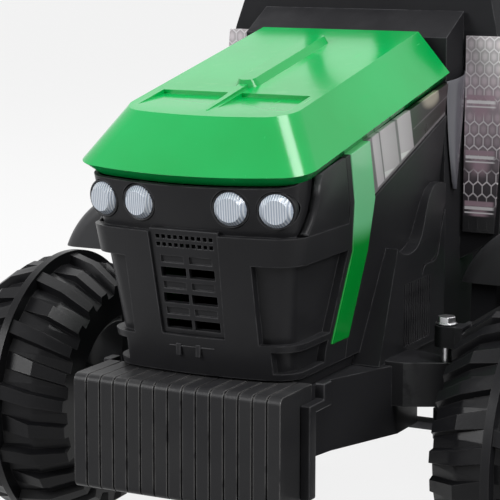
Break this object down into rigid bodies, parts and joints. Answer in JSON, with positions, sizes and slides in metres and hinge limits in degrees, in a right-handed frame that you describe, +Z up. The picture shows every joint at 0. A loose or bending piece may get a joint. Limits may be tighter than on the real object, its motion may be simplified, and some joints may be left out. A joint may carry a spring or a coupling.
{
  "type": "ride-on toy tractor",
  "caption": "Child's ride-on farm tractor with a sloping hood, grille and lamps, front weights, lugged wheels, linked steering, moulded seat and trailer hitch.",
  "frame": {"origin": "on the ground below the middle of the bounding box", "axes": "+Z up, the tractor faces -Y, +X is the tractor's left"},
  "size_m": [0.644, 1.09, 0.6234],
  "materials": {
    "green_gloss": "gloss moulded plastic, green",
    "black_plastic": "satin textured moulded plastic, black",
    "grey_plastic": "satin moulded plastic, dark grey",
    "smoked_panel": "gloss printed panel, dark",
    "lens_clear": "clear fluted lamp lens",
    "lens_red": "red lamp lens",
    "tyre_black": "satin hard tyre, black",
    "rim_grey": "satin wheel centre, grey",
    "zinc_steel": "zinc plated steel",
    "black_steel": "black coated steel",
    "battery_case": "battery case"
  },
  "bodies": {
    "chassis": {"front_weights": "black_plastic", "weight_bracket": "black_plastic", "chassis_frame": "black_plastic", "body_risers": "black_plastic", "engine_bed": "black_plastic", "front_axle": "black_plastic", "kingpins": "zinc_steel", "nose": "black_plastic", "grille": "black_plastic", "headlamp_bezels": "black_plastic", "headlamp_lenses": "lens_clear", "side_stripes": "green_gloss", "side_windows": "smoked_panel", "side_panel_left": "black_plastic", "side_panel_right": "black_plastic", "hood": "green_gloss", "cowl": "black_plastic", "dash_panels": "smoked_panel", "shield_panels": "smoked_panel", "footboard": "grey_plastic", "foot_pedal": "black_plastic", "wheel_arch_left": "grey_plastic", "wheel_arch_right": "grey_plastic", "rear_body": "black_plastic", "battery": "battery_case", "seat": "black_plastic", "rear_fender_left": "green_gloss", "rear_fender_right": "green_gloss", "rear_axle": "zinc_steel", "gearboxes": "black_plastic", "hitch": "black_plastic", "tail_lamps": "lens_red"},
    "steering": {"steering_shaft": "black_steel", "steering_wheel": "black_plastic"},
    "tie_rod": {"tie_rod": "black_steel"},
    "knuckle_left": {"knuckle_left": "black_plastic"},
    "knuckle_right": {"knuckle_right": "black_plastic"},
    "front_wheel_left": {"front_tyre_left": "tyre_black", "front_rim_left": "rim_grey"},
    "front_wheel_right": {"front_tyre_right": "tyre_black", "front_rim_right": "rim_grey"},
    "rear_wheel_left": {"rear_tyre_left": "tyre_black", "rear_rim_left": "rim_grey"},
    "rear_wheel_right": {"rear_tyre_right": "tyre_black", "rear_rim_right": "rim_grey"}
  },
  "joints": [
    {"name": "steering_turn", "type": "hinge", "parent": "chassis", "child": "steering", "pos_m": [0, -0.08151, 0.566], "axis": [0, 0.4384, 0.8988], "range_deg": [-40, 40]},
    {"name": "tie_rod_slide", "type": "slide", "parent": "chassis", "child": "tie_rod", "axis": [1, 0, 0], "range_m": [-0.0205, 0.0205]},
    {"name": "knuckle_left_turn", "type": "hinge", "parent": "chassis", "child": "knuckle_left", "pos_m": [0.161, -0.317, 0.19], "axis": [0, 0, 1], "range_deg": [-20.5, 20.5]},
    {"name": "knuckle_right_turn", "type": "hinge", "parent": "chassis", "child": "knuckle_right", "pos_m": [-0.161, -0.317, 0.19], "axis": [0, 0, 1], "range_deg": [-20.5, 20.5]},
    {"name": "front_left_spin", "type": "hinge", "parent": "knuckle_left", "child": "front_wheel_left", "pos_m": [0.252, -0.317, 0.14], "axis": [1, 0, 0], "continuous": true},
    {"name": "front_right_spin", "type": "hinge", "parent": "knuckle_right", "child": "front_wheel_right", "pos_m": [-0.252, -0.317, 0.14], "axis": [1, 0, 0], "continuous": true},
    {"name": "rear_left_spin", "type": "hinge", "parent": "chassis", "child": "rear_wheel_left", "pos_m": [0.248, 0.303, 0.175], "axis": [1, 0, 0], "continuous": true},
    {"name": "rear_right_spin", "type": "hinge", "parent": "chassis", "child": "rear_wheel_right", "pos_m": [-0.248, 0.303, 0.175], "axis": [1, 0, 0], "continuous": true}
  ],
  "couplings": [
    {"joint": "tie_rod_slide", "follows": "steering_turn", "m_per_rad": -0.028415},
    {"joint": "knuckle_left_turn", "follows": "steering_turn", "ratio": 0.5},
    {"joint": "knuckle_right_turn", "follows": "steering_turn", "ratio": 0.5}
  ]
}
